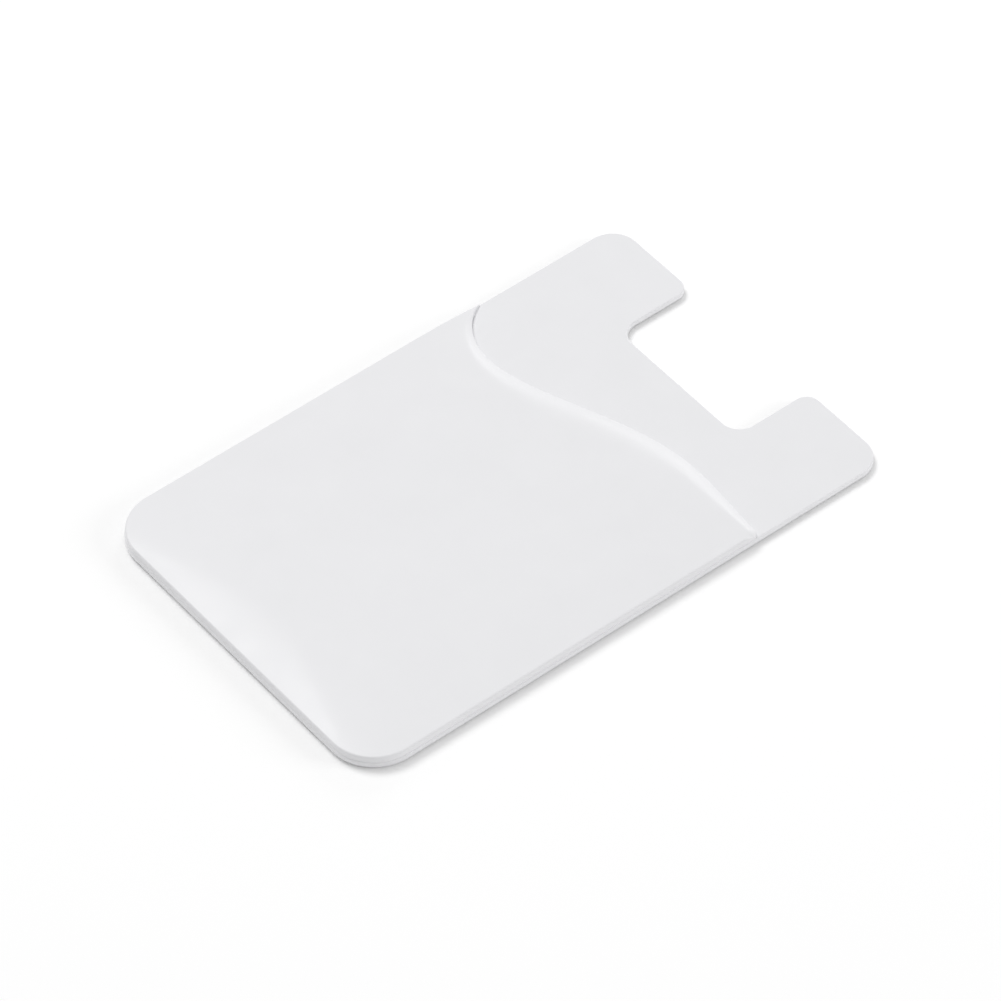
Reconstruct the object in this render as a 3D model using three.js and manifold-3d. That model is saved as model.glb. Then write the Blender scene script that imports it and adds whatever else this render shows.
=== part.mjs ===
// Stick-on card holder for the back of a phone, in millimetres.
// It lies face up: +Z is the pocket's side, +Y points to the tab with the end notch,
// and the origin is the centre of the underside's bounding box.
import * as THREE from "three";
import { mergeVertices, toCreasedNormals } from "three/addons/utils/BufferGeometryUtils.js";
import Module from "manifold-3d";

const wasm = await Module();
wasm.setup();

// The payment card that the pocket takes
const cardWidth = 54;
const cardSideClearance = 0.3;

// Back sheet: plan outline, end notch and thickness
const sideWall = 1.2;
const sheetWidth = cardWidth + 2 * (cardSideClearance + sideWall);
const sheetLength = 87;
const closedCornerRadius = 7;
const tabCornerRadius = 4.1;
const notchWidth = 25;
const notchDepth = 12.5;
const notchTipRadius = 3;
const notchFloorRadius = 2.9;
const sheetThickness = 0.9;
const sheetEdgeRadius = 0.2;

// Pocket: upright wall, rounded rim and the pillow that swells towards the middle
const endWall = 1.4;
const wallHeight = 1.4;
const partingLineDrop = 0.05;
const footInset = 1;
const footDepth = 0.6;
const rimRadius = 0.45;
const slotHeight = 0.9;
const slotEdgeRadius = 0.3;
const panelThickness = 0.8;
const pillowEndRun = 14;
const pillowRidgeWidth = 4;
const pillowRidgeRadius = 1.3;

// Mouth of the pocket, an S-shaped line: depths are measured from the closed end, and a reach
// is how far the line runs straight out of a bend before it turns; the room is the straight
// stretch between the line's last point and the arc of its round right corner
const mouthLeftDepth = 64.5;
const mouthLeftReach = 3.8;
const mouthLeftLean = 13;
const mouthDipDepth = 57.5;
const mouthDipFromCentre = 19;
const mouthDipReachLeft = 5.3;
const mouthDipReachRight = 9.1;
const mouthCrestDepth = 66.2;
const mouthCrestFromCentre = 14.3;
const mouthCrestReachLeft = 12.7;
const mouthCrestReachRight = 4.8;
const mouthRightDepth = 65.2;
const mouthRightReach = 5.2;
const mouthRightLean = 1.5;
const mouthCornerRadius = 1.2;
const mouthCornerRoom = 0.24;

// Lip: the panel thins and sinks towards the mouth over its run
const lipGap = 0.1;
const lipThickness = 0.5;
const lipEdgeRadius = 0.18;
const lipRun = 5;
const lipOvershoot = 0.04;

// Peel-and-stick backing on the underside
const adhesiveInset = 2.5;
const adhesiveThickness = 0.2;
const linerOverhang = 0.5;
const linerThickness = 0.1;

// Heights over the surface that the holder lies on
const undersideZ = linerThickness + adhesiveThickness;
const sheetTopZ = undersideZ + sheetThickness;
const slotCeilingZ = sheetTopZ + slotHeight;
const crownZ = slotCeilingZ + panelThickness;
const wallTopZ = undersideZ + wallHeight;
const closedEndY = -sheetLength / 2;

// How far cutting solids reach past what they cut
const cutterMargin = 1;

// Finish of the surfaces' facets
const arcSteps = 9;
const rimSteps = 5;
const pillowSteps = 9;
const mouthSteps = 66;
const lipSteps = 7;
const lipEdgeSteps = 4;
const creaseAngle = 0.6;
const snapGrid = 1e-4;

// The points of a closed outline whose corners, each [x, y, radius], are rounded to arcs.
function roundedOutline(corners) {
  return corners.flatMap(([x, y, radius], i) => {
    const corner = new THREE.Vector2(x, y);
    if (radius === 0) return [corner];
    const [beforeX, beforeY] = corners.at(i - 1);
    const [afterX, afterY] = corners[(i + 1) % corners.length];
    const toBefore = new THREE.Vector2(beforeX - x, beforeY - y).normalize();
    const toAfter = new THREE.Vector2(afterX - x, afterY - y).normalize();
    const halfAngle = Math.acos(toBefore.dot(toAfter)) / 2;
    const inwards = toBefore.clone().add(toAfter).normalize();
    const centre = corner.clone().addScaledVector(inwards, radius / Math.sin(halfAngle));
    const reach = radius / Math.tan(halfAngle);
    const start = corner.clone().addScaledVector(toBefore, reach).sub(centre);
    const turn = Math.sign(toAfter.cross(toBefore)) * (Math.PI - 2 * halfAngle);
    return Array.from({ length: arcSteps + 1 }, (_, k) =>
      start.clone().rotateAround(new THREE.Vector2(), (turn * k) / arcSteps).add(centre),
    );
  });
}

// Outline of the back sheet with its notch, moved inwards by an inset.
function sheetOutline(inset) {
  const side = sheetWidth / 2 - inset;
  const closedEnd = closedEndY + inset;
  const tabEnd = sheetLength / 2 - inset;
  const notchSide = notchWidth / 2 + inset;
  const notchFloor = sheetLength / 2 - notchDepth - inset;
  const closedRadius = closedCornerRadius - inset;
  const tabRadius = tabCornerRadius - inset;
  const tipRadius = notchTipRadius - inset;
  const floorRadius = notchFloorRadius + inset;
  return roundedOutline([
    [-side, closedEnd, closedRadius],
    [side, closedEnd, closedRadius],
    [side, tabEnd, tabRadius],
    [notchSide, tabEnd, tipRadius],
    [notchSide, notchFloor, floorRadius],
    [-notchSide, notchFloor, floorRadius],
    [-notchSide, tabEnd, tipRadius],
    [-side, tabEnd, tabRadius],
  ]);
}

// A flat plate from an outline, between two heights, with rounded upper and lower edges.
function plate(outline, bottomZ, topZ, edgeRadius) {
  const rounded = edgeRadius > 0;
  return new THREE.ExtrudeGeometry(new THREE.Shape(outline), {
    depth: topZ - bottomZ - 2 * edgeRadius,
    bevelEnabled: rounded,
    bevelThickness: edgeRadius,
    bevelSize: edgeRadius,
    bevelOffset: -edgeRadius,
    bevelSegments: 3,
  }).translate(0, 0, bottomZ + edgeRadius);
}

// Triangles that fill one flat section, turning the same way round as the section does.
function fillSection(contour) {
  const triangles = THREE.ShapeUtils.triangulateShape(contour, []);
  const [a, b, c] = triangles[0].map((i) => contour[i]);
  const sameWay = THREE.ShapeUtils.area([a, b, c]) * THREE.ShapeUtils.area(contour) > 0;
  return sameWay ? triangles : triangles.map(([i, j, k]) => [i, k, j]);
}

// A closed solid through sections with as many points each. Seen from the far end, each turns
// anticlockwise; flatten gives a section's point in its own plane, to close the two ends.
function loft(sections, flatten) {
  const count = sections[0].length;
  const last = (sections.length - 1) * count;
  const index = [];
  for (let start = 0; start < last; start += count) {
    for (let j = 0; j < count; j++) {
      const a = start + j;
      const b = start + ((j + 1) % count);
      index.push(a, b, b + count, a, b + count, a + count);
    }
  }
  for (const [i, j, k] of fillSection(sections[0].map(flatten))) index.push(i, k, j);
  const farEnd = fillSection(sections.at(-1).map(flatten));
  for (const [i, j, k] of farEnd) index.push(last + i, last + j, last + k);
  const positions = sections.flat().flatMap((point) => point.toArray());
  return new THREE.BufferGeometry()
    .setAttribute("position", new THREE.Float32BufferAttribute(positions, 3))
    .setIndex(index);
}

// A geometry as a solid that can be joined and cut, its points snapped to a fine grid.
function solid(geometry) {
  const bare = geometry.clone();
  bare.deleteAttribute("normal");
  bare.deleteAttribute("uv");
  const positions = bare.attributes.position.array;
  positions.forEach((value, i) => (positions[i] = Math.round(value / snapGrid) * snapGrid));
  const merged = mergeVertices(bare, snapGrid / 2);
  return new wasm.Manifold(
    new wasm.Mesh({
      numProp: 3,
      vertProperties: new Float32Array(merged.attributes.position.array),
      triVerts: new Uint32Array(merged.index.array),
    }),
  );
}

// A solid as a named mesh.
function part(name, body, material) {
  const { vertProperties, triVerts } = body.getMesh();
  const geometry = new THREE.BufferGeometry()
    .setAttribute("position", new THREE.BufferAttribute(vertProperties, 3))
    .setIndex(new THREE.BufferAttribute(triVerts, 1));
  const mesh = new THREE.Mesh(toCreasedNormals(geometry, creaseAngle), material);
  mesh.name = name;
  return mesh;
}

// A step of a length in a direction given in degrees from +X.
function step(length, degrees) {
  return new THREE.Vector2(length, 0).rotateAround(new THREE.Vector2(), THREE.MathUtils.degToRad(degrees));
}

// The mouth's line, from the left edge through the dip and the crest to the right edge.
function mouthCurve() {
  const left = new THREE.Vector2(-sheetWidth / 2, closedEndY + mouthLeftDepth);
  const dip = new THREE.Vector2(-mouthDipFromCentre, closedEndY + mouthDipDepth);
  const crest = new THREE.Vector2(mouthCrestFromCentre, closedEndY + mouthCrestDepth);
  const right = new THREE.Vector2(sheetWidth / 2, closedEndY + mouthRightDepth);
  const bend = (from, leaving, arriving, to) =>
    new THREE.CubicBezierCurve(from, from.clone().add(leaving), to.clone().sub(arriving), to);
  const curve = new THREE.CurvePath();
  curve.add(bend(left, step(mouthLeftReach, mouthLeftLean - 90), step(mouthDipReachLeft, 0), dip));
  curve.add(bend(dip, step(mouthDipReachRight, 0), step(mouthCrestReachLeft, 0), crest));
  curve.add(bend(crest, step(mouthCrestReachRight, 0), step(mouthRightReach, -mouthRightLean), right));
  return curve;
}

// Points along the mouth with the direction into the pocket at each, run on past both sides.
function mouthStations() {
  const curve = mouthCurve();
  const stations = Array.from({ length: mouthSteps + 1 }, (_, i) => {
    const t = i / mouthSteps;
    const tangent = curve.getTangentAt(t);
    return { point: curve.getPointAt(t), tangent, inwards: new THREE.Vector2(tangent.y, -tangent.x) };
  });
  const beyond = (station, distance) => ({
    ...station,
    point: station.point.clone().addScaledVector(station.tangent, distance),
  });
  return [beyond(stations[0], -cutterMargin), ...stations, beyond(stations.at(-1), cutterMargin)];
}

// Everything above a surface that climbs from the mouth's edge to the pocket's full height.
// It is swept along the mouth; edgeRadius rounds the step at the edge itself.
function aboveLip(edgeZ, fullZ, edgeRadius) {
  const outside = -cutterMargin;
  const clearZ = crownZ + cutterMargin;
  const climb = fullZ + lipOvershoot - edgeZ;
  const profile = [new THREE.Vector2(lipRun, clearZ)];
  for (let i = lipSteps; i > 0; i--) {
    const t = i / lipSteps;
    const distance = edgeRadius + (lipRun - edgeRadius) * t;
    profile.push(new THREE.Vector2(distance, edgeZ + climb * (1 - (1 - t) ** 2)));
  }
  for (let i = edgeRadius > 0 ? lipEdgeSteps : 0; i >= 0; i--) {
    const angle = (Math.PI / 2) * (i / lipEdgeSteps);
    const drop = edgeRadius * (1 - Math.sin(angle));
    profile.push(new THREE.Vector2(edgeRadius * (1 - Math.cos(angle)), edgeZ - drop));
  }
  profile.push(new THREE.Vector2(outside, edgeZ - edgeRadius), new THREE.Vector2(outside, clearZ));
  const sections = mouthStations().map(({ point, inwards }) =>
    profile.map((p) => {
      const { x, y } = point.clone().addScaledVector(inwards, p.x);
      return new THREE.Vector3(x, y, p.y);
    }),
  );
  return solid(loft(sections, (p) => new THREE.Vector2(p.y, p.z)));
}

// The pocket's plan up to its mouth, as an upright prism: the lip's right end has a round corner.
function pocketPlan() {
  const side = sheetWidth / 2;
  const lip = mouthStations()
    .map(({ point }) => point)
    .filter(({ x }) => x < side - mouthCornerRadius - mouthCornerRoom)
    .reverse()
    .map(({ x, y }) => [x, y, 0]);
  const outline = roundedOutline([
    [lip.at(-1)[0], closedEndY - cutterMargin, 0],
    [side, closedEndY - cutterMargin, 0],
    [side, closedEndY + mouthRightDepth, mouthCornerRadius],
    ...lip,
  ]);
  return solid(plate(outline, undersideZ - cutterMargin, crownZ + cutterMargin, 0));
}

// One level of the pocket's outer form: a U around the closed end, square beyond the mouth.
function pocketRing(sideInset, endInset, cornerRadius, z) {
  const side = sheetWidth / 2 - sideInset;
  const beyondMouth = closedEndY + Math.max(mouthLeftDepth, mouthCrestDepth) + 2 * cutterMargin;
  return roundedOutline([
    [-side, closedEndY + endInset, cornerRadius],
    [side, closedEndY + endInset, cornerRadius],
    [side, beyondMouth, 0],
    [-side, beyondMouth, 0],
  ]).map((p) => new THREE.Vector3(p.x, p.y, z));
}

// The pocket as a full block: a foot sunk in the sheet, the parting line over the sheet's
// rounded edge, then the upright wall, the quarter-round rim and the pillow.
function pocketBlock() {
  const footRadius = closedCornerRadius - footInset;
  const partingZ = sheetTopZ - partingLineDrop;
  const rings = [
    pocketRing(footInset, footInset, footRadius, sheetTopZ - footDepth),
    pocketRing(footInset, footInset, footRadius, partingZ),
    pocketRing(0, 0, closedCornerRadius, partingZ),
  ];
  for (let i = 0; i <= rimSteps; i++) {
    const angle = (Math.PI / 2) * (i / rimSteps);
    const inset = rimRadius * (1 - Math.cos(angle));
    const z = wallTopZ + rimRadius * Math.sin(angle);
    rings.push(pocketRing(inset, inset, closedCornerRadius - inset, z));
  }
  const rimZ = wallTopZ + rimRadius;
  const sideRun = sheetWidth / 2 - pillowRidgeWidth / 2 - rimRadius;
  for (let i = 1; i <= pillowSteps; i++) {
    const t = i / pillowSteps;
    const radius = (closedCornerRadius - rimRadius) * (1 - t) + pillowRidgeRadius * t;
    const z = rimZ + (crownZ - rimZ) * (1 - (1 - t) ** 2);
    rings.push(pocketRing(rimRadius + sideRun * t, rimRadius + pillowEndRun * t, radius, z));
  }
  return solid(loft(rings, (p) => new THREE.Vector2(p.x, p.y)));
}

// The room for the card over the sheet: a plate with a rounded ceiling edge, open past the
// mouth, its ceiling low at the lip. It starts below the sheet's top, which is its floor.
function cardSlot() {
  const side = cardWidth / 2 + cardSideClearance;
  const closedEnd = closedEndY + endWall;
  const radius = closedCornerRadius - sideWall;
  const beyondMouth = closedEndY + Math.max(mouthLeftDepth, mouthCrestDepth) + cutterMargin;
  const outline = roundedOutline([
    [-side, closedEnd, radius],
    [side, closedEnd, radius],
    [side, beyondMouth, 0],
    [-side, beyondMouth, 0],
  ]);
  return solid(plate(outline, sheetTopZ - slotEdgeRadius, slotCeilingZ, slotEdgeRadius)).subtract(
    aboveLip(sheetTopZ + lipGap, slotCeilingZ, 0),
  );
}

// The moulded body: back sheet and pocket in one piece.
function siliconeBody() {
  const sheet = solid(plate(sheetOutline(0), undersideZ, sheetTopZ, sheetEdgeRadius));
  const lipTopZ = sheetTopZ + lipGap + lipThickness;
  const pocket = pocketBlock()
    .intersect(pocketPlan())
    .subtract(aboveLip(lipTopZ, crownZ, lipEdgeRadius))
    .subtract(cardSlot());
  return sheet.add(pocket);
}

const silicone = new THREE.MeshStandardMaterial({ color: 0xe8e8ea, roughness: 0.5, metalness: 0 });
const adhesive = new THREE.MeshStandardMaterial({ color: 0xe6e2d6, roughness: 0.3, metalness: 0 });
const releasePaper = new THREE.MeshStandardMaterial({ color: 0xf3f1ea, roughness: 0.6, metalness: 0 });

const group = new THREE.Group();
group.add(part("silicone_body", siliconeBody(), silicone));
group.add(
  part(
    "adhesive_sheet",
    solid(plate(sheetOutline(adhesiveInset), linerThickness, undersideZ, 0)),
    adhesive,
  ),
);
group.add(
  part(
    "release_liner",
    solid(plate(sheetOutline(adhesiveInset - linerOverhang), 0, linerThickness, 0)),
    releasePaper,
  ),
);

export default group;
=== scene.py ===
"""Stick-on phone card holder in moulded silicone, on its release liner, with a plain studio stage.

Lengths are in metres. The holder lies face up: +Z is the pocket's side, +Y points to the tab with
the end notch, and the origin is the centre of the underside.
"""

import math
from bisect import bisect_left

import bmesh
import bpy
from bpy.props import FloatProperty, FloatVectorProperty, PointerProperty
from mathutils import Matrix, Vector, geometry


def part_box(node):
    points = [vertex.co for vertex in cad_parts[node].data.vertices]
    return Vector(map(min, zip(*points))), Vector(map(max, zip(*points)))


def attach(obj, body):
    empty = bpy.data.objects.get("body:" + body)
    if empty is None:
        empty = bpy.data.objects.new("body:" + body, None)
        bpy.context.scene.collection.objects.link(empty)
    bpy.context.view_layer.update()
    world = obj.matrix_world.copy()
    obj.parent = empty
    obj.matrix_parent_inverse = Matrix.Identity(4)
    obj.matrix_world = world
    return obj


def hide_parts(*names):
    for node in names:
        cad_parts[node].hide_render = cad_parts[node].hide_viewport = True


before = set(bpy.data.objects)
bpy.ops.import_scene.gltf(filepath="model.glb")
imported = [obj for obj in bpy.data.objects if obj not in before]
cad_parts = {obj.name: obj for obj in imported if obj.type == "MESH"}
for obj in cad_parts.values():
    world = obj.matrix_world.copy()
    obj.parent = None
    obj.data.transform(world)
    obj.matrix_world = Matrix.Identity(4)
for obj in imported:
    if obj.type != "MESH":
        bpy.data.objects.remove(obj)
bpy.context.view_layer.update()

bl_info = {
    "name": "Stick-on Phone Card Holder",
    "version": (1, 0, 0),
    "blender": (4, 5, 0),
    "location": "View3D > Sidebar > Card Holder",
    "description": "Models a peel-and-stick silicone card holder and its studio stage",
    "category": "Object",
}

MM = 0.001

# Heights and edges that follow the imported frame
SHEET_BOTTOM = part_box("adhesive_sheet")[1].z
HOLDER_LOW, HOLDER_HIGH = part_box("silicone_body")
CROWN = HOLDER_HIGH.z
SHEET_WIDTH = HOLDER_HIGH.x - HOLDER_LOW.x

# Fineness of the meshes
ARC_SEGMENTS = 16
EDGE_SEGMENTS = 4
CURVE_POINTS = 60
FLAT_SUPPORT = 0.05 * MM
SHARP_ANGLE = math.radians(40)
SOLVE_STEPS = 24
RIM_STEP = 0.05 * MM
GRID_STEP = 0.9 * MM
FINENESS_GROWTH = 1.3
SLOT_STEP = 1 * MM
WELD = 0.0005 * MM

RIM_SHARE = 1.2

# How the body's blocks overlap before they are joined
SLOT_SUNK = 0.3 * MM
SLOT_BEYOND = 1 * MM

# How the lip's climb and the left wall's fall bend
LIP_OVERSHOOT = 0.04 * MM
LIP_BLEND = 0.06 * MM
LIP_BEND = 4
FALL_BEND = 3.5

# Real sizes of what the materials' surfaces show
MOTTLE_SIZE = 6 * MM
GRAIN_SIZE = 0.25 * MM
WAVE_SIZE = 9 * MM
STREAK_SIZE = 2 * MM
FIBRE_SIZE = 0.4 * MM

# Stage: lamps are (name, azimuth and elevation in degrees, distance, size, share of the light)
FLOOR_HALF = 0.6
FLOOR_DROP = 0.02 * MM
FLOOR_WHITE = (1, 1, 1, 1)
FLOOR_LIFT = 0.035
SKY_SHARE = 0.57
LAMPS = (
    ("key_lamp", 270, 58, 1.6, 0.76, 0.33),
    ("side_lamp", 133, 18, 1.2, 0.5, 0.075),
    ("low_lamp", 213, 20, 1.2, 0.45, 0.025),
)

# Camera, from the photograph's perspective
CAMERA_TARGET = Vector((0.7, 0.219, 0)) * MM
CAMERA_AZIMUTH = math.radians(53.871)
CAMERA_ELEVATION = math.radians(47.613)
CAMERA_ROLL = math.radians(-2.756)
CAMERA_DISTANCE = 895.56 * MM
CAMERA_LENS = 243.37
CAMERA_CLIP = (0.05, 10)


def linear(hex_colour):
    """An sRGB hex colour as linear red, green, blue and an opaque alpha."""
    channels = [int(hex_colour[i : i + 2], 16) / 255 for i in (1, 3, 5)]
    return [c / 12.92 if c <= 0.04045 else ((c + 0.055) / 1.055) ** 2.4 for c in channels] + [1.0]


def length(name, description, millimetres):
    """A size in metres, with its default given in millimetres."""
    return FloatProperty(
        name=name,
        description=description,
        default=millimetres * MM,
        min=0.0,
        precision=5,
        subtype="DISTANCE",
        unit="LENGTH",
    )


def colour(name, description, hex_colour):
    """A colour, with its default given as an sRGB hex value."""
    return FloatVectorProperty(
        name=name,
        description=description,
        default=linear(hex_colour),
        size=4,
        min=0.0,
        max=1.0,
        subtype="COLOR",
    )


class CardHolderSheet(bpy.types.PropertyGroup):
    """Back sheet that is stuck to the phone."""

    closed_radius: length("Closed radius", "Plan radius of the two corners at the closed end", 7)
    tab_radius: length("Tab radius", "Plan radius of the tab's two outer corners", 4.1)
    notch_width: length("Notch width", "Width of the end notch", 25)
    notch_depth: length("Notch depth", "Depth of the end notch", 12.5)
    tip_radius: length("Notch tip radius", "Plan radius where the notch meets the tab's end", 2.1)
    floor_radius: length("Notch floor radius", "Plan radius of the notch's inner corners", 2.9)
    thickness: length("Thickness", "Thickness of the back sheet", 0.9)
    edge_radius: length("Edge radius", "Rounding of the sheet's upper and lower edges", 0.2)


class CardHolderPocket(bpy.types.PropertyGroup):
    """Front panel with its walls, rim, pillow and lip."""

    side_wall: length("Side wall", "Thickness of the walls beside the card", 1.2)
    end_wall: length("End wall", "Thickness of the wall at the closed end", 1.4)
    wall_height: length("Wall height", "Upright part of the wall, from the sheet's underside", 1.55)
    wall_setback: length("Wall setback", "How far the wall stands in from the sheet's edge", 0.12)
    wall_fall: length("Wall fall", "How far the left wall has fallen where it meets the mouth", 0.6)
    wall_fall_run: length("Wall fall run", "Length over which the left wall falls", 15.5)
    parting_drop: length("Parting drop", "How far the parting line lies under the sheet", 0.05)
    rim_radius: length("Rim radius", "Rounding between the wall and the panel", 0.3)
    end_run: length("Pillow end run", "Length over which the panel swells from the closed end", 7.5)
    ridge_width: length("Ridge width", "Width of the level middle of the pillow", 4)
    ridge_radius: length("Ridge radius", "Plan radius of the level middle's corners", 1.3)
    slot_height: length("Slot height", "Height of the room for the card", 0.9)
    lip_gap: length("Lip gap", "Gap between the sheet and the lip", 0.1)
    lip_thickness: length("Lip thickness", "Thickness of the panel at its lip", 0.5)
    lip_edge_radius: length("Lip edge radius", "Rounding of the lip's upper edge", 0.18)
    lip_run: length("Lip run", "Length over which the panel rises from the lip", 8)


class CardHolderMouth(bpy.types.PropertyGroup):
    """S-shaped line of the pocket's mouth; depths are measured from the closed end."""

    left_depth: length("Left depth", "Where the line meets the left side", 63.4)
    left_reach: length("Left reach", "How far the line runs straight from the left side", 2.8)
    dip_depth: length("Dip depth", "Where the line is lowest", 57.5)
    dip_from_centre: length("Dip from centre", "How far left of the middle the dip lies", 19)
    dip_reach_left: length("Dip reach left", "How far it runs level left of the dip", 5.3)
    dip_reach_right: length("Dip reach right", "How far it runs level right of the dip", 9.1)
    crest_depth: length("Crest depth", "Where the line is highest", 66.2)
    crest_from_centre: length("Crest from centre", "How far right of the middle it lies", 14.3)
    crest_reach_left: length("Crest reach left", "How far it runs level left of the crest", 12.7)
    crest_reach_right: length("Crest reach right", "How far it runs level right of the crest", 4.8)
    right_depth: length("Right depth", "Where the line meets the right side", 65.2)
    right_reach: length("Right reach", "How far the line runs straight into the right side", 5.2)
    corner_radius: length("Corner radius", "Plan radius where the lip meets the right side", 1.2)
    left_lean: FloatProperty(
        name="Left lean",
        description="Lean of the line off the left side",
        default=math.radians(17),
        subtype="ANGLE",
        unit="ROTATION",
    )
    right_lean: FloatProperty(
        name="Right lean",
        description="Fall of the line where it meets the right side",
        default=math.radians(1.5),
        subtype="ANGLE",
        unit="ROTATION",
    )


class CardHolderColours(bpy.types.PropertyGroup):
    """Colours of the holder's materials."""

    silicone: colour("Silicone", "Pigmented silicone rubber", "#EAEAEC")
    adhesive: colour("Adhesive", "Milky double-sided film", "#E6E2D6")
    liner: colour("Liner", "Coated release paper", "#F3F1EA")


# Plan outlines and heights


class MouthLine:
    """The mouth's line as a chain of plan points, left to right, with its round right corner."""

    def __init__(self, mouth):
        half = SHEET_WIDTH / 2
        end = HOLDER_LOW.y
        knots = [
            Vector((-half, end + mouth.left_depth)),
            Vector((-mouth.dip_from_centre, end + mouth.dip_depth)),
            Vector((mouth.crest_from_centre, end + mouth.crest_depth)),
            Vector((half, end + mouth.right_depth)),
        ]
        left_turn = Vector((math.sin(mouth.left_lean), -math.cos(mouth.left_lean)))
        right_turn = Vector((math.cos(mouth.right_lean), -math.sin(mouth.right_lean)))
        handles = [
            (knots[0] + left_turn * mouth.left_reach, knots[1] - Vector((mouth.dip_reach_left, 0))),
            (
                knots[1] + Vector((mouth.dip_reach_right, 0)),
                knots[2] - Vector((mouth.crest_reach_left, 0)),
            ),
            (
                knots[2] + Vector((mouth.crest_reach_right, 0)),
                knots[3] - right_turn * mouth.right_reach,
            ),
        ]
        line = []
        for (leaving, arriving), start, stop in zip(handles, knots, knots[1:]):
            flat = geometry.interpolate_bezier(start, leaving, arriving, stop, CURVE_POINTS)
            line += [Vector((p.x, p.y)) for p in flat[:-1]]
        line.append(knots[3])
        radius = mouth.corner_radius
        self.points = [p for p in line if p.x < half - radius]
        corner = Vector((half - radius, self.points[-1].y - radius))
        for i in range(ARC_SEGMENTS + 1):
            angle = math.radians(90 * (1 - i / ARC_SEGMENTS))
            self.points.append(corner + radius * Vector((math.cos(angle), math.sin(angle))))
        self.xs = [p.x for p in self.points]

    def y_at(self, x):
        """The line's place along the holder, at a place across it."""
        i = min(max(bisect_left(self.xs, x), 1), len(self.xs) - 1)
        start, stop = self.points[i - 1], self.points[i]
        span = stop.x - start.x
        share = min(max((x - start.x) / span, 0), 1) if span else 1
        return start.y + (stop.y - start.y) * share

    def distance(self, x, y):
        """The shortest way in plan from a point to the line."""
        point = Vector((x, y))
        nearest = math.inf
        for start, stop in zip(self.points, self.points[1:]):
            along = stop - start
            share = min(max((point - start).dot(along) / along.length_squared, 0), 1)
            nearest = min(nearest, (start + along * share - point).length_squared)
        return math.sqrt(nearest)


def closed_end_y(x, half, end, radius):
    """The closed end's plan line, at a place across: straight, with two round corners."""
    past = abs(x) - (half - radius)
    return end if past <= 0 else end + radius - math.sqrt(max(radius**2 - past**2, 0))


def inset_from_walls(x, y, half, end, radius):
    """How far in plan a point lies inside the U of the two sides and the closed end."""
    across, along = half - abs(x), y - end
    if across < radius and along < radius:
        return radius - math.hypot(radius - across, radius - along)
    return min(across, along)


def quarter_round(distance, radius):
    """The height of a quarter-round edge, at a distance in from its foot."""
    return math.sqrt(max(radius**2 - max(radius - distance, 0) ** 2, 0))


def ease_out(share, bend=2):
    """A rise from 0 to 1 that levels off at its end, the sooner the higher the bend."""
    return 1 - (1 - min(max(share, 0), 1)) ** bend


def soft_minimum(a, b, blend):
    """The lower of two heights, blended where they are close."""
    mix = max(blend - abs(a - b), 0) / blend
    return min(a, b) - mix * mix * blend / 4


def direction(azimuth, elevation):
    """The way towards a point on the sky, in degrees: azimuth 0 is -Y and 90 is +X."""
    a, e = math.radians(azimuth), math.radians(elevation)
    return Vector((math.sin(a) * math.cos(e), -math.cos(a) * math.cos(e), math.sin(e)))


def place_camera(scene):
    """The camera at the photograph's angle and distance."""
    back = direction(math.degrees(CAMERA_AZIMUTH), math.degrees(CAMERA_ELEVATION))
    right = Vector((math.cos(CAMERA_AZIMUTH), math.sin(CAMERA_AZIMUTH), 0))
    up = back.cross(right)
    turned_right = math.cos(CAMERA_ROLL) * right + math.sin(CAMERA_ROLL) * up
    turned_up = math.cos(CAMERA_ROLL) * up - math.sin(CAMERA_ROLL) * right
    data = bpy.data.cameras.new("photo_camera")
    data.lens = CAMERA_LENS
    data.clip_start, data.clip_end = CAMERA_CLIP
    camera = bpy.data.objects.new("photo_camera", data)
    turn = Matrix((turned_right, turned_up, back)).transposed()
    place = CAMERA_TARGET + back * CAMERA_DISTANCE
    camera.matrix_world = Matrix.Translation(place) @ turn.to_4x4()
    scene.collection.objects.link(camera)
    scene.camera = camera


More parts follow.
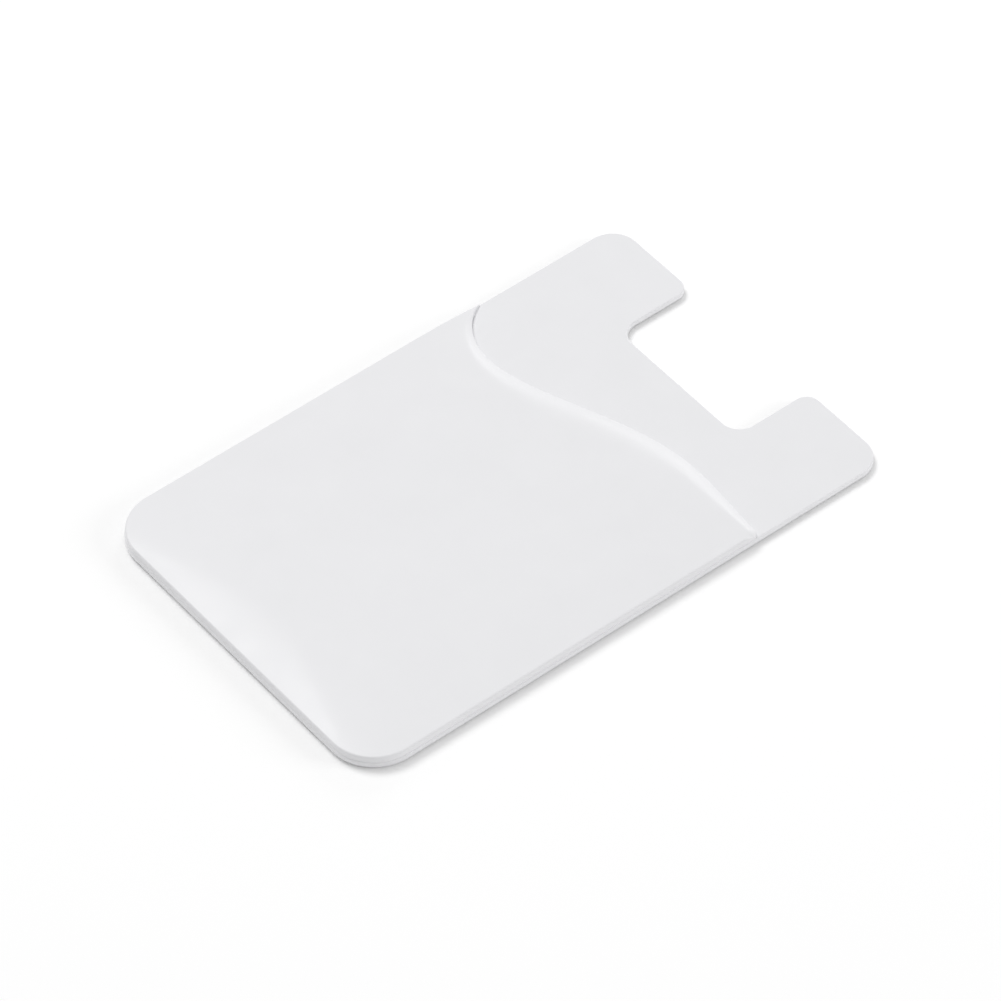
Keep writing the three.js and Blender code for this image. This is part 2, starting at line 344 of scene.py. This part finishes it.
class HolderForm:
    """The heights of the pocket's outer skin and of the card slot's ceiling."""

    def __init__(self, sheet, pocket, mouth):
        self.sheet = sheet
        self.pocket = pocket
        self.half = SHEET_WIDTH / 2
        self.end = HOLDER_LOW.y
        self.wall_half = self.half - pocket.wall_setback
        self.wall_end = self.end + pocket.wall_setback
        self.wall_radius = sheet.closed_radius - pocket.wall_setback
        self.mouth = MouthLine(mouth)
        self.fall_start = self.mouth.points[0].y - pocket.wall_fall_run
        self.bottom = SHEET_BOTTOM
        self.sheet_top = SHEET_BOTTOM + sheet.thickness
        self.wall_top = SHEET_BOTTOM + pocket.wall_height
        self.ceiling = self.sheet_top + pocket.slot_height
        self.lip_top = self.sheet_top + pocket.lip_gap + pocket.lip_thickness

    def pillow_share(self, x, y):
        """How far up the pillow a point lies: 0 at the rim, 1 on the level middle."""
        pocket = self.pocket
        run = self.wall_half - pocket.ridge_width / 2 - pocket.rim_radius
        outer_radius = self.wall_radius - pocket.rim_radius
        low, high = 0.0, 1.0
        for _ in range(SOLVE_STEPS):
            share = (low + high) / 2
            inset = inset_from_walls(
                x,
                y,
                self.wall_half - pocket.rim_radius - run * share,
                self.wall_end + pocket.rim_radius + pocket.end_run * share,
                outer_radius + (pocket.ridge_radius - outer_radius) * share,
            )
            if inset > 0:
                low = share
            else:
                high = share
        return (low + high) / 2

    def climb_from_lip(self, way, start, top):
        """Height of the lip's surface at a way in from the mouth, from its edge to the panel."""
        return start + (top + LIP_OVERSHOOT - start) * ease_out(way, LIP_BEND)

    def left_fall(self, x, y):
        """How far the left wall has fallen beside a point."""
        past = min(max((y - self.fall_start) / self.pocket.wall_fall_run, 0), 1)
        return self.pocket.wall_fall * past**FALL_BEND if x < 0 else 0

    def skin(self, x, y):
        """Height of the pocket's outer skin."""
        pocket = self.pocket
        inset = inset_from_walls(x, y, self.wall_half, self.wall_end, self.wall_radius)
        way = self.mouth.distance(x, y)
        swell = CROWN - self.wall_top - pocket.rim_radius
        risen = ease_out(self.pillow_share(x, y))
        panel = self.wall_top + quarter_round(inset, pocket.rim_radius) + swell * risen
        panel -= self.left_fall(x, y) * (1 - risen)
        if way > pocket.lip_run:
            return panel
        edge = pocket.lip_edge_radius
        share = (way - edge) / (pocket.lip_run - edge)
        lip = self.climb_from_lip(share, self.lip_top, CROWN) - edge + quarter_round(way, edge)
        return soft_minimum(panel, lip, LIP_BLEND)

    def slot_ceiling(self, x, y):
        """Height of the card slot's ceiling, which sinks to a narrow gap at the lip."""
        low = self.sheet_top + self.pocket.lip_gap
        if y >= self.mouth.y_at(x):
            return low
        share = self.mouth.distance(x, y) / self.pocket.lip_run
        return min(self.climb_from_lip(share, low, self.ceiling), self.ceiling)


# Meshes


def rounded_face(bm, corners):
    """A flat face through corners, each (x, y, radius), whose corners a bevel rounds."""
    verts = [bm.verts.new((x, y, 0)) for x, y, _ in corners]
    bm.faces.new(verts)
    for vert, (_, _, radius) in zip(verts, corners):
        bmesh.ops.bevel(
            bm,
            geom=[vert],
            offset=radius,
            offset_type="OFFSET",
            segments=ARC_SEGMENTS,
            profile=0.5,
            affect="VERTICES",
            material=-1,
        )


def spread(start, stop, fine, coarse, finest):
    """Places from start to stop: close together over a fine stretch at both ends."""
    total = stop - start
    steps, place, step = [0.0], 0.0, finest
    while place < total / 2:
        place += step
        steps.append(min(place, total / 2))
        step = finest if place < fine else min(step * FINENESS_GROWTH, coarse)
    return [start + s for s in steps] + [stop - s for s in reversed(steps[:-1])]


def height_field(bm, columns, low_y, high_y, rows, height):
    """A grid over a plan that is bounded in y by two lines, raised to a height at each point."""
    made = bmesh.ops.create_grid(bm, x_segments=len(columns) - 1, y_segments=len(rows) - 1, size=1)
    for vert in made["verts"]:
        column = round((vert.co.x + 1) / 2 * (len(columns) - 1))
        row = round((vert.co.y + 1) / 2 * (len(rows) - 1))
        x = columns[column]
        low, high = low_y(x), high_y(x)
        y = low + (high - low) * rows[row]
        vert.co = (x, y, height(x, y))
    return made["verts"]


def drop_walls(bm, edges, z):
    """Extrudes edges straight down to a level, and gives the edges at the bottom."""
    made = bmesh.ops.extrude_edge_only(bm, edges=edges)["geom"]
    for vert in (g for g in made if isinstance(g, bmesh.types.BMVert)):
        vert.co.z = z
    return [g for g in made if isinstance(g, bmesh.types.BMEdge) and g.is_boundary]


def border(bm):
    """The open edges of a bmesh."""
    return [e for e in bm.edges if e.is_boundary]


def solid_object(name, bm):
    """A bmesh as an object in the scene, its points welded and its faces pointing outwards."""
    bmesh.ops.remove_doubles(bm, verts=bm.verts[:], dist=WELD)
    bmesh.ops.recalc_face_normals(bm, faces=bm.faces[:])
    mesh = bpy.data.meshes.new(name)
    bm.to_mesh(mesh)
    bm.free()
    obj = bpy.data.objects.new(name, mesh)
    bpy.context.scene.collection.objects.link(obj)
    return obj


def make_sheet(form):
    """The back sheet: its notched outline, extruded, with rounded edges."""
    sheet, half = form.sheet, form.half
    tab_end = HOLDER_HIGH.y
    notch, floor = sheet.notch_width / 2, tab_end - sheet.notch_depth
    bm = bmesh.new()
    rounded_face(
        bm,
        [
            (-half, form.end, sheet.closed_radius),
            (half, form.end, sheet.closed_radius),
            (half, tab_end, sheet.tab_radius),
            (notch, tab_end, sheet.tip_radius),
            (notch, floor, sheet.floor_radius),
            (-notch, floor, sheet.floor_radius),
            (-notch, tab_end, sheet.tip_radius),
            (-half, tab_end, sheet.tab_radius),
        ],
    )
    bmesh.ops.translate(bm, verts=bm.verts[:], vec=(0, 0, form.bottom))
    made = bmesh.ops.extrude_face_region(bm, geom=bm.faces[:])["geom"]
    raised = [g for g in made if isinstance(g, bmesh.types.BMVert)]
    bmesh.ops.translate(bm, verts=raised, vec=(0, 0, sheet.thickness))
    bmesh.ops.recalc_face_normals(bm, faces=bm.faces[:])
    level = [e for e in bm.edges if abs(e.verts[0].co.z - e.verts[1].co.z) < WELD]
    bmesh.ops.bevel(
        bm,
        geom=level,
        offset=sheet.edge_radius,
        offset_type="OFFSET",
        segments=EDGE_SEGMENTS,
        profile=0.5,
        affect="EDGES",
        material=-1,
    )
    for face in [f for f in bm.faces if abs(f.normal.z) > 1 - WELD and len(f.verts) > 4]:
        bmesh.ops.inset_region(bm, faces=[face], thickness=FLAT_SUPPORT, use_even_offset=True)
    return solid_object("back_sheet", bm)


def make_pocket(form):
    """The pocket as a block: its skin, and walls down to the parting line."""
    pocket, half, end = form.pocket, form.wall_half, form.wall_end
    fine = RIM_SHARE * pocket.rim_radius
    columns = spread(-half, half, fine, GRID_STEP, RIM_STEP)
    depth = form.mouth.y_at(0) - end
    rows = [(y - end) / depth for y in spread(end, end + depth, fine, GRID_STEP, RIM_STEP)]
    bm = bmesh.new()
    height_field(
        bm,
        columns,
        lambda x: closed_end_y(x, half, end, form.wall_radius),
        form.mouth.y_at,
        rows,
        form.skin,
    )
    bmesh.ops.remove_doubles(bm, verts=bm.verts[:], dist=WELD)
    parting = form.sheet_top - pocket.parting_drop
    base = drop_walls(bm, border(bm), parting)
    bmesh.ops.contextual_create(bm, geom=base)
    return solid_object("pocket", bm)


def make_slot(form):
    """The room for the card, as a block to cut with: it runs on past the mouth."""
    pocket = form.pocket
    half = form.half - pocket.side_wall
    end = form.end + pocket.end_wall
    radius = form.sheet.closed_radius - pocket.side_wall
    columns = spread(-half, half, 0, SLOT_STEP, SLOT_STEP)
    fine = pocket.lip_run
    inner = form.mouth.y_at(0) - end
    rows = [(y - end) / inner for y in spread(end, end + inner, fine, SLOT_STEP, SLOT_STEP / 2)]
    beyond = 1 + SLOT_BEYOND / inner
    bm = bmesh.new()
    height_field(
        bm,
        columns,
        lambda x: closed_end_y(x, half, end, radius),
        form.mouth.y_at,
        [*rows, beyond],
        form.slot_ceiling,
    )
    floor = drop_walls(bm, border(bm), form.sheet_top - SLOT_SUNK)
    bmesh.ops.contextual_create(bm, geom=floor)
    return solid_object("card_slot", bm)


def joined(base, operand, operation):
    """The base object joined with or cut by an operand, which is then removed."""
    boolean = base.modifiers.new(operation.title(), "BOOLEAN")
    boolean.object = operand
    boolean.operation = operation
    boolean.solver = "EXACT"
    depsgraph = bpy.context.evaluated_depsgraph_get()
    mesh = bpy.data.meshes.new_from_object(base.evaluated_get(depsgraph))
    base.modifiers.clear()
    base.data = mesh
    bpy.data.objects.remove(operand)
    return base


def smooth_skin(obj):
    """Shades an object smooth, apart from edges that turn sharply."""
    bm = bmesh.new()
    bm.from_mesh(obj.data)
    bmesh.ops.remove_doubles(bm, verts=bm.verts[:], dist=WELD)
    bmesh.ops.dissolve_degenerate(bm, edges=bm.edges[:], dist=WELD)
    bmesh.ops.recalc_face_normals(bm, faces=bm.faces[:])
    for face in bm.faces:
        face.smooth = True
    for edge in bm.edges:
        edge.smooth = edge.calc_face_angle(math.pi) < SHARP_ANGLE
    bm.to_mesh(obj.data)
    bm.free()


# Materials


def new_material(name):
    """A new material with an empty node tree."""
    material = bpy.data.materials.new(name)
    material.use_nodes = True
    tree = material.node_tree
    tree.nodes.clear()
    return material, tree


def node(tree, kind, settings=None, links=None):
    """Adds a node: settings are its properties and sockets' values, links its sockets' sources."""
    made = tree.nodes.new(kind)
    for name, value in (settings or {}).items():
        if isinstance(name, str) and hasattr(made, name):
            setattr(made, name, value)
        else:
            made.inputs[name].default_value = value
    for name, source in (links or {}).items():
        tree.links.new(source, made.inputs[name])
    return made


def cloudiness(tree, place, size, settings):
    """Noise whose features have a real size."""
    inputs = {"Scale": 1 / size, **settings}
    return node(tree, "ShaderNodeTexNoise", inputs, {"Vector": place}).outputs["Fac"]


def tinted(tree, base_colour, darkest, share):
    """The base colour, down to a share of it where the noise is low."""
    darker = [c * darkest for c in base_colour[:3]] + [1.0]
    settings = {"data_type": "RGBA", 6: darker, 7: list(base_colour)}
    return node(tree, "ShaderNodeMix", settings, {0: share}).outputs[2]


def ranged(tree, value, settings):
    """A noise, spread to a range."""
    return node(tree, "ShaderNodeMapRange", settings, {"Value": value}).outputs["Result"]


def bumped(tree, strength, depth, links):
    """A surface normal that follows a noise of a real depth."""
    settings = {"Strength": strength, "Distance": depth}
    return node(tree, "ShaderNodeBump", settings, links).outputs["Normal"]


def surface(tree, settings, tint, gloss, bump):
    """Ends a material in one shader with its colour, roughness and normal."""
    links = {"Base Color": tint, "Roughness": gloss, "Normal": bump}
    shader = node(tree, "ShaderNodeBsdfPrincipled", settings, links)
    node(tree, "ShaderNodeOutputMaterial", links={"Surface": shader.outputs["BSDF"]})


def moulded_silicone(base_colour):
    """Pigmented silicone rubber, compression moulded in a fine-blasted tool.

    The blasting gives a satin surface with a grain of about 0.05 mm, drawn here at 0.25 mm so
    that it shows. The soft skin is a little uneven over some 9 mm, and pigment and handling
    leave the colour and the gloss very slightly mottled.
    """
    material, tree = new_material("moulded_silicone")
    place = node(tree, "ShaderNodeTexCoord").outputs["Object"]
    mottle = cloudiness(tree, place, MOTTLE_SIZE, {"Detail": 3.0, "Roughness": 0.55})
    grain = cloudiness(tree, place, GRAIN_SIZE, {"Detail": 2.0, "Roughness": 0.6})
    unevenness = cloudiness(tree, place, WAVE_SIZE, {"Detail": 1.0, "Roughness": 0.4})
    tint = tinted(tree, base_colour, 0.975, mottle)
    satin = {"From Min": 0.25, "From Max": 0.75, "To Min": 0.3, "To Max": 0.38}
    gloss = ranged(tree, mottle, satin)
    waves = bumped(tree, 0.25, 0.06 * MM, {"Height": unevenness})
    bump = bumped(tree, 0.25, 0.006 * MM, {"Height": grain, "Normal": waves})
    surface(tree, {"IOR": 1.41, "Specular IOR Level": 0.5}, tint, gloss, bump)
    return material


def adhesive_film(base_colour):
    """Double-sided acrylic film on a thin carrier, laminated and die cut.

    The milky film is slightly glossy, with fine cloudy streaks from the coating, 2 mm apart.
    """
    material, tree = new_material("adhesive_film")
    place = node(tree, "ShaderNodeTexCoord").outputs["Object"]
    along = {"Scale": (1, 0.2, 1)}
    stretched = node(tree, "ShaderNodeMapping", along, {"Vector": place}).outputs["Vector"]
    streaks = cloudiness(tree, stretched, STREAK_SIZE, {"Detail": 2.0})
    tint = tinted(tree, base_colour, 0.94, streaks)
    gloss = ranged(tree, streaks, {"To Min": 0.28, "To Max": 0.4})
    bump = bumped(tree, 0.2, 0.01 * MM, {"Height": streaks})
    surface(tree, {"IOR": 1.48}, tint, gloss, bump)
    return material


def release_paper(base_colour):
    """Calendered paper with a thin silicone coat.

    Short paper fibres, some 0.4 mm wide, show as a faint cloudiness under a smooth coat.
    """
    material, tree = new_material("release_paper")
    place = node(tree, "ShaderNodeTexCoord").outputs["Object"]
    fibres = cloudiness(tree, place, FIBRE_SIZE, {"Detail": 4.0, "Distortion": 1.2})
    tint = tinted(tree, base_colour, 0.93, fibres)
    gloss = ranged(tree, fibres, {"To Min": 0.42, "To Max": 0.56})
    bump = bumped(tree, 0.15, 0.01 * MM, {"Height": fibres})
    surface(tree, {"IOR": 1.45}, tint, gloss, bump)
    return material


def seen_directly(tree):
    """1 on rays from the camera, and on those that gloss or clear material passes on."""
    paths = node(tree, "ShaderNodeLightPath").outputs
    larger = {"operation": "MAXIMUM"}
    either = {0: paths["Is Camera Ray"], 1: paths["Is Glossy Ray"]}
    seen = node(tree, "ShaderNodeMath", larger, either).outputs["Value"]
    either = {0: seen, 1: paths["Is Transmission Ray"]}
    return node(tree, "ShaderNodeMath", larger, either).outputs["Value"]


def studio_white():
    """Flat white floor that renders white where it is lit, and keeps the holder's shadow."""
    material, tree = new_material("studio_white")
    seen = seen_directly(tree)
    matt = node(tree, "ShaderNodeBsdfDiffuse", {"Color": FLOOR_WHITE}).outputs["BSDF"]
    strength = scaled(tree, seen, FLOOR_LIFT)
    white = {"Color": FLOOR_WHITE}
    glow = node(tree, "ShaderNodeEmission", white, {"Strength": strength}).outputs["Emission"]
    both = node(tree, "ShaderNodeAddShader", links={0: matt, 1: glow}).outputs["Shader"]
    node(tree, "ShaderNodeOutputMaterial", links={"Surface": both})
    return material


def scaled(tree, source, factor):
    """A value times a factor."""
    settings = {"operation": "MULTIPLY", 1: factor}
    return node(tree, "ShaderNodeMath", settings, {0: source}).outputs["Value"]


# Operators and panel


class CARDHOLDER_OT_body(bpy.types.Operator):
    """Model the moulded silicone body: back sheet, pocket and lip in one piece"""

    bl_idname = "card_holder.body"
    bl_label = "Silicone Body"

    def execute(self, context):
        scene = context.scene
        form = HolderForm(scene.holder_sheet, scene.holder_pocket, scene.holder_mouth)
        pocket = joined(make_pocket(form), make_slot(form), "DIFFERENCE")
        body = joined(make_sheet(form), pocket, "UNION")
        smooth_skin(body)
        body.name = body.data.name = "silicone_holder"
        body.data.materials.clear()
        body.data.materials.append(moulded_silicone(scene.holder_colours.silicone))
        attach(body, "root")
        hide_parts("silicone_body")
        return {"FINISHED"}


class CARDHOLDER_OT_backing(bpy.types.Operator):
    """Finish the adhesive sheet and the release liner"""

    bl_idname = "card_holder.backing"
    bl_label = "Adhesive and Liner"

    def execute(self, context):
        colours = context.scene.holder_colours
        finishes = {
            "adhesive_sheet": adhesive_film(colours.adhesive),
            "release_liner": release_paper(colours.liner),
        }
        for name, material in finishes.items():
            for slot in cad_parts[name].material_slots:
                slot.material = material
        return {"FINISHED"}


class CARDHOLDER_OT_stage(bpy.types.Operator):
    """Set the white floor, the soft lamps, the sky light and the camera"""

    bl_idname = "card_holder.stage"
    bl_label = "Studio Stage"

    def execute(self, context):
        scene = context.scene
        bm = bmesh.new()
        bmesh.ops.create_grid(bm, x_segments=1, y_segments=1, size=FLOOR_HALF)
        bmesh.ops.translate(bm, verts=bm.verts[:], vec=(0, 0, -FLOOR_DROP))
        floor = solid_object("studio_floor", bm)
        floor.data.materials.append(studio_white())
        for name, azimuth, elevation, distance, size, share in LAMPS:
            data = bpy.data.lights.new(name, "AREA")
            data.shape = "DISK"
            data.size = size
            data.energy = share * math.pi**2 * distance**2 / math.sin(math.radians(elevation))
            lamp = bpy.data.objects.new(name, data)
            scene.collection.objects.link(lamp)
            way = direction(azimuth, elevation)
            lamp.location = way * distance
            lamp.rotation_mode = "QUATERNION"
            lamp.rotation_quaternion = way.to_track_quat("Z", "Y")
            lamp.visible_camera = False
        world = bpy.data.worlds.new("soft_sky")
        world.use_nodes = True
        tree = world.node_tree
        tree.nodes.clear()
        seen = seen_directly(tree)
        level = node(
            tree,
            "ShaderNodeMapRange",
            {"To Min": SKY_SHARE, "To Max": 1.0},
            {"Value": seen},
        ).outputs["Result"]
        sky = node(
            tree, "ShaderNodeBackground", {"Color": (1, 1, 1, 1)}, {"Strength": level}
        ).outputs["Background"]
        node(tree, "ShaderNodeOutputWorld", links={"Surface": sky})
        scene.world = world
        scene.view_settings.view_transform = "Standard"
        place_camera(scene)
        return {"FINISHED"}


class CARDHOLDER_PT_panel(bpy.types.Panel):
    """Sizes, colours and steps of the card holder"""

    bl_label = "Card Holder"
    bl_idname = "CARDHOLDER_PT_panel"
    bl_space_type = "VIEW_3D"
    bl_region_type = "UI"
    bl_category = "Card Holder"

    def draw(self, context):
        layout = self.layout
        for group_name in PROPERTY_GROUPS:
            group = getattr(context.scene, group_name)
            box = layout.box()
            for prop in group.bl_rna.properties:
                if prop.identifier not in ("rna_type", "name"):
                    box.prop(group, prop.identifier)
        for operator in OPERATORS:
            layout.operator(operator.bl_idname)


PROPERTY_GROUPS = {
    "holder_sheet": CardHolderSheet,
    "holder_pocket": CardHolderPocket,
    "holder_mouth": CardHolderMouth,
    "holder_colours": CardHolderColours,
}
OPERATORS = (CARDHOLDER_OT_body, CARDHOLDER_OT_backing, CARDHOLDER_OT_stage)
CLASSES = (*PROPERTY_GROUPS.values(), *OPERATORS, CARDHOLDER_PT_panel)


def register():
    for cls in CLASSES:
        bpy.utils.register_class(cls)
    for name, group in PROPERTY_GROUPS.items():
        setattr(bpy.types.Scene, name, PointerProperty(type=group))


def unregister():
    for name in PROPERTY_GROUPS:
        delattr(bpy.types.Scene, name)
    for cls in reversed(CLASSES):
        bpy.utils.unregister_class(cls)


def main():
    register()
    bpy.ops.card_holder.body()
    bpy.ops.card_holder.backing()
    bpy.ops.card_holder.stage()


if __name__ == "__main__":
    main()
